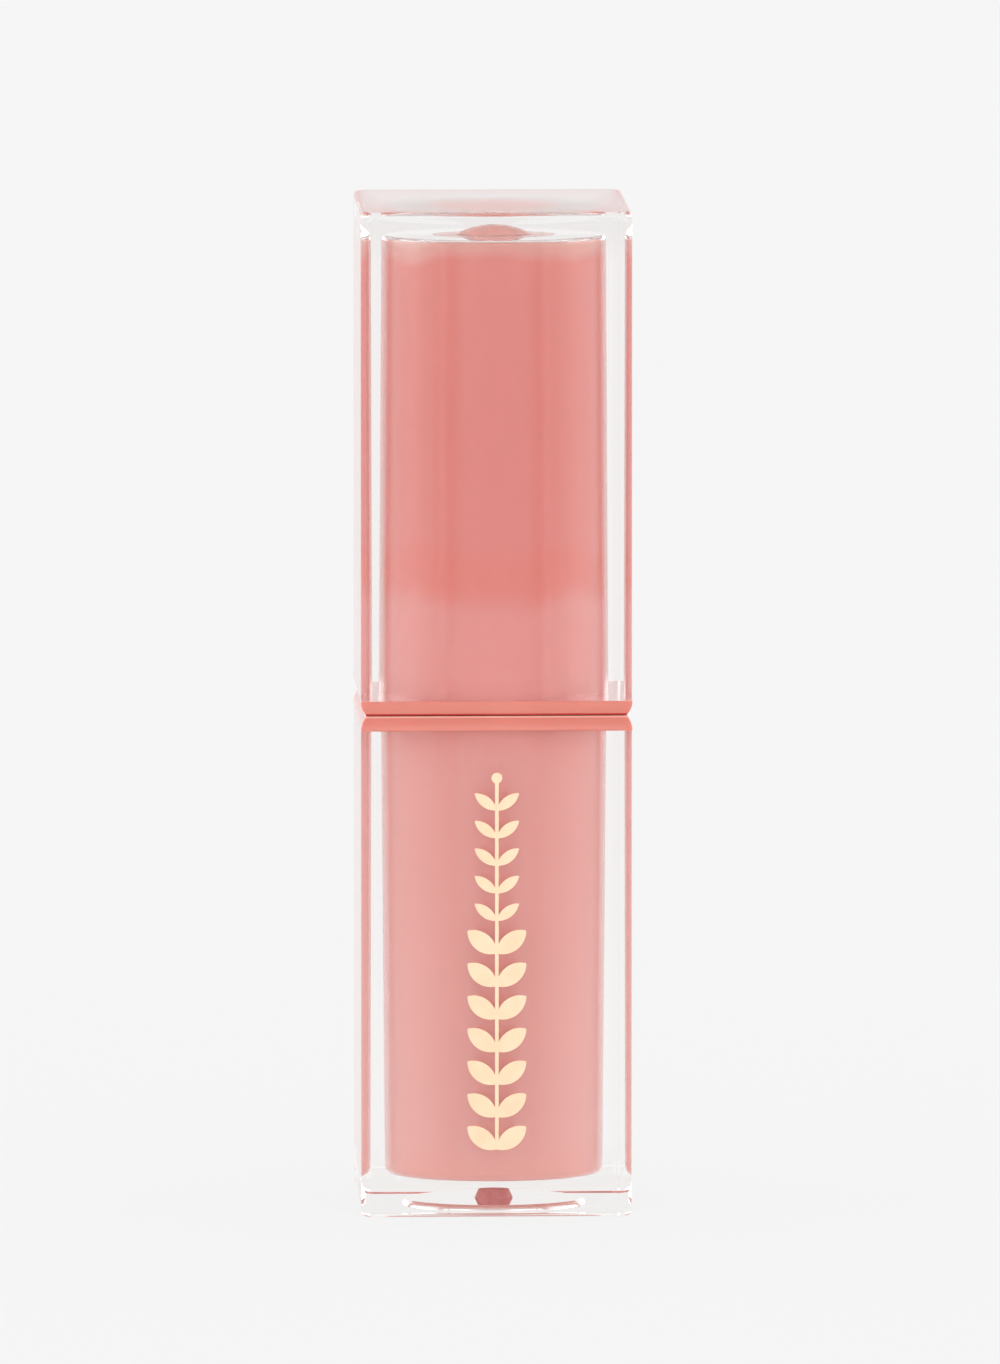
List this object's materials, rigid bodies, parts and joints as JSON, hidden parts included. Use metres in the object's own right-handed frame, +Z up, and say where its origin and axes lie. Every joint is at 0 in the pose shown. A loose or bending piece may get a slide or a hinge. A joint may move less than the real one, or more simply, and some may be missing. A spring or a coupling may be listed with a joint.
{
  "type": "twist-up gloss stick",
  "caption": "Square clear-cased twist-up gloss stick with pink round liners, square flanges at the parting, a pull-off cap and a helical lift mechanism.",
  "frame": {"origin": "middle of the underside, on the surface the case stands on", "axes": "+Z up along the case towards the cap's end, -Y out of the front face that carries the foil, +X to the right of the front face"},
  "size_m": [0.021, 0.021, 0.0782],
  "materials": {
    "clear_plastic": "polished clear",
    "pink_liner": "gloss",
    "gold_foil": "polished foil",
    "neck_plastic": "gloss",
    "mechanism_plastic": "moulded",
    "gloss_wax": "waxy gloss",
    "silicone": "soft"
  },
  "bodies": {
    "base": {"base_shell": "clear_plastic", "base_liner": "pink_liner", "foil_ornament": "gold_foil", "fork_tube": "mechanism_plastic", "drag_ring": "silicone"},
    "neck": {"neck_cover": "neck_plastic", "spiral_sleeve": "mechanism_plastic"},
    "stick": {"cup": "mechanism_plastic", "gloss_bullet": "gloss_wax"},
    "cap": {"cap_shell": "clear_plastic", "cap_liner": "pink_liner"}
  },
  "joints": [
    {"name": "neck_twist", "type": "hinge", "parent": "base", "child": "neck", "pos_m": [0, 0, 0.0391], "axis": [0, 0, 1], "range_deg": [0, 540]},
    {"name": "stick_rise", "type": "slide", "parent": "base", "child": "stick", "axis": [0, 0, 1], "range_m": [0, 0.024]},
    {"name": "cap_pull", "type": "slide", "parent": "base", "child": "cap", "axis": [0, 0, 1], "range_m": [0, 0.045]}
  ],
  "couplings": [
    {"joint": "stick_rise", "follows": "neck_twist", "m_per_rad": 0.0025465}
  ]
}
